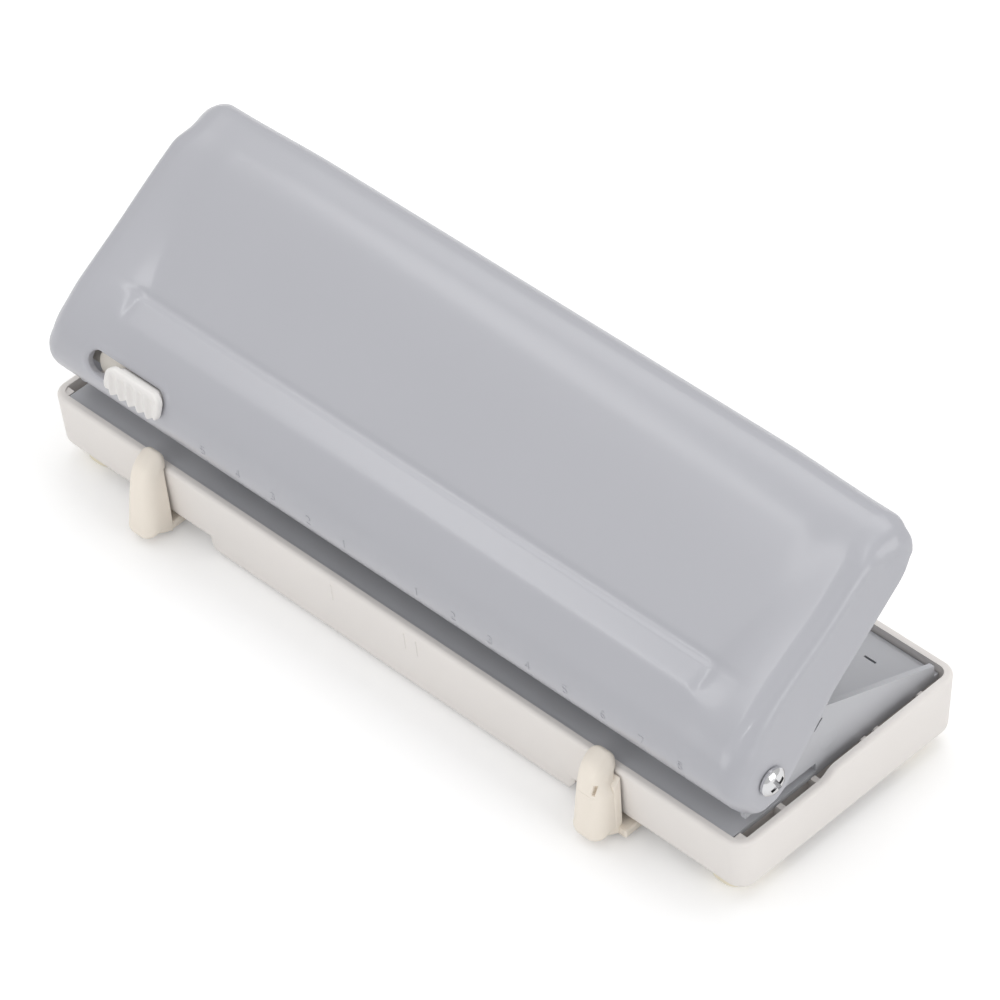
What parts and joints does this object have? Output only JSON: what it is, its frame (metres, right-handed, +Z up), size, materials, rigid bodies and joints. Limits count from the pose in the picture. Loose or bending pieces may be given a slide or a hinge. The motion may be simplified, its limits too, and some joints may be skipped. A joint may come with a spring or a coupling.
{
  "type": "adjustable hole punch",
  "caption": "Desk hole punch with a pressed sheet lever, sliding punch units on a rail, spring-returned pins, paper guides, a lever lock and a chip tray.",
  "frame": {"origin": "on the desk, under the middle of the whole punch with its lever open", "axes": "+Z up, +X to the right along the lever, +Y from the paper side to the back"},
  "size_m": [0.1956, 0.0694, 0.0665],
  "materials": {
    "tray_cream": "satin moulded cream plastic",
    "foot_cream": "soft yellowish cream",
    "guide_cream": "satin moulded warm cream plastic",
    "grey_paint": "smooth satin grey paint on steel",
    "lever_paint": "smooth semi-gloss grey paint on pressed steel",
    "chrome": "bright plated screw",
    "zinc_steel": "zinc-plated steel",
    "ground_steel": "ground hardened steel",
    "spring_steel": "plain drawn spring wire",
    "unit_steel": "dull nickel-plated die blocks",
    "knob_white": "white moulded plastic",
    "bolt_cream": "cream moulded plastic",
    "brass_bush": "plain turned brass"
  },
  "bodies": {
    "tray": {"tray": "tray_cream", "foot_front_left": "foot_cream", "foot_front_right": "foot_cream", "foot_back_left": "foot_cream", "foot_back_right": "foot_cream"},
    "frame": {"frame": "grey_paint", "guide_rod": "ground_steel", "rod_rings": "zinc_steel", "hinge_screw_left": "chrome", "hinge_screw_right": "chrome", "hinge_bush_left": "brass_bush", "hinge_bush_right": "brass_bush", "hinge_nut_left": "zinc_steel", "hinge_nut_right": "zinc_steel"},
    "lever": {"lever": "lever_paint", "press_bar": "zinc_steel"},
    "lock": {"lock_bolt": "bolt_cream", "lock_knob": "knob_white"},
    "guide_left_body": {"guide_left": "guide_cream"},
    "guide_right_body": {"guide_right": "guide_cream", "guide_right_cap": "guide_cream"},
    "unit_1": {"punch_unit_1": "unit_steel", "clamp_screw_1": "zinc_steel", "pin_spring_1": "spring_steel"},
    "pin_1": {"punch_pin_1": "ground_steel"},
    "unit_2": {"punch_unit_2": "unit_steel", "clamp_screw_2": "zinc_steel", "pin_spring_2": "spring_steel"},
    "pin_2": {"punch_pin_2": "ground_steel"},
    "unit_3": {"punch_unit_3": "unit_steel", "clamp_screw_3": "zinc_steel", "pin_spring_3": "spring_steel"},
    "pin_3": {"punch_pin_3": "ground_steel"},
    "unit_4": {"punch_unit_4": "unit_steel", "clamp_screw_4": "zinc_steel", "pin_spring_4": "spring_steel"},
    "pin_4": {"punch_pin_4": "ground_steel"},
    "unit_5": {"punch_unit_5": "unit_steel", "clamp_screw_5": "zinc_steel", "pin_spring_5": "spring_steel"},
    "pin_5": {"punch_pin_5": "ground_steel"},
    "unit_6": {"punch_unit_6": "unit_steel", "clamp_screw_6": "zinc_steel", "pin_spring_6": "spring_steel"},
    "pin_6": {"punch_pin_6": "ground_steel"}
  },
  "joints": [
    {"name": "frame_lift", "type": "slide", "parent": "tray", "child": "frame", "axis": [0, 0, 1], "range_m": [0, 0.012]},
    {"name": "lever_hinge", "type": "hinge", "parent": "frame", "child": "lever", "pos_m": [0, -0.01855, 0.0293], "axis": [1, 0, 0], "range_deg": [-44, 0], "stiffness_Nm_per_rad": 0.25, "springref_deg": 51.57},
    {"name": "lock_slide", "type": "slide", "parent": "lever", "child": "lock", "axis": [-1, 0, 0], "range_m": [0, 0.0045]},
    {"name": "left_guide_slide", "type": "slide", "parent": "tray", "child": "guide_left_body", "axis": [1, 0, 0], "range_m": [-0.015, 0.006]},
    {"name": "right_guide_slide", "type": "slide", "parent": "tray", "child": "guide_right_body", "axis": [1, 0, 0], "range_m": [-0.0035, 0.015]},
    {"name": "unit_slide_1", "type": "slide", "parent": "frame", "child": "unit_1", "axis": [-1, 0, 0], "range_m": [0, 0.0255]},
    {"name": "pin_stroke_1", "type": "slide", "parent": "unit_1", "child": "pin_1", "axis": [0, 0, 1], "range_m": [-0.00674, 0], "deforming": ["pin_spring_1"]},
    {"name": "unit_slide_2", "type": "slide", "parent": "frame", "child": "unit_2", "axis": [-1, 0, 0], "range_m": [0, 0.0255]},
    {"name": "pin_stroke_2", "type": "slide", "parent": "unit_2", "child": "pin_2", "axis": [0, 0, 1], "range_m": [-0.00674, 0], "deforming": ["pin_spring_2"]},
    {"name": "unit_slide_3", "type": "slide", "parent": "frame", "child": "unit_3", "axis": [-1, 0, 0], "range_m": [0, 0.0255]},
    {"name": "pin_stroke_3", "type": "slide", "parent": "unit_3", "child": "pin_3", "axis": [0, 0, 1], "range_m": [-0.00674, 0], "deforming": ["pin_spring_3"]},
    {"name": "unit_slide_4", "type": "slide", "parent": "frame", "child": "unit_4", "axis": [1, 0, 0], "range_m": [0, 0.0255]},
    {"name": "pin_stroke_4", "type": "slide", "parent": "unit_4", "child": "pin_4", "axis": [0, 0, 1], "range_m": [-0.00674, 0], "deforming": ["pin_spring_4"]},
    {"name": "unit_slide_5", "type": "slide", "parent": "frame", "child": "unit_5", "axis": [1, 0, 0], "range_m": [0, 0.0255]},
    {"name": "pin_stroke_5", "type": "slide", "parent": "unit_5", "child": "pin_5", "axis": [0, 0, 1], "range_m": [-0.00674, 0], "deforming": ["pin_spring_5"]},
    {"name": "unit_slide_6", "type": "slide", "parent": "frame", "child": "unit_6", "axis": [1, 0, 0], "range_m": [0, 0.0255]},
    {"name": "pin_stroke_6", "type": "slide", "parent": "unit_6", "child": "pin_6", "axis": [0, 0, 1], "range_m": [-0.00674, 0], "deforming": ["pin_spring_6"]}
  ],
  "couplings": [
    {"joint": "pin_stroke_1", "follows": "lever_hinge", "m_per_rad": 0.0087805},
    {"joint": "pin_stroke_2", "follows": "lever_hinge", "m_per_rad": 0.0087805},
    {"joint": "pin_stroke_3", "follows": "lever_hinge", "m_per_rad": 0.0087805},
    {"joint": "pin_stroke_4", "follows": "lever_hinge", "m_per_rad": 0.0087805},
    {"joint": "pin_stroke_5", "follows": "lever_hinge", "m_per_rad": 0.0087805},
    {"joint": "pin_stroke_6", "follows": "lever_hinge", "m_per_rad": 0.0087805},
    {"joint": "unit_slide_1", "follows": "unit_slide_3", "ratio": 1},
    {"joint": "unit_slide_2", "follows": "unit_slide_3", "ratio": 1},
    {"joint": "unit_slide_5", "follows": "unit_slide_4", "ratio": 1},
    {"joint": "unit_slide_6", "follows": "unit_slide_4", "ratio": 1}
  ]
}
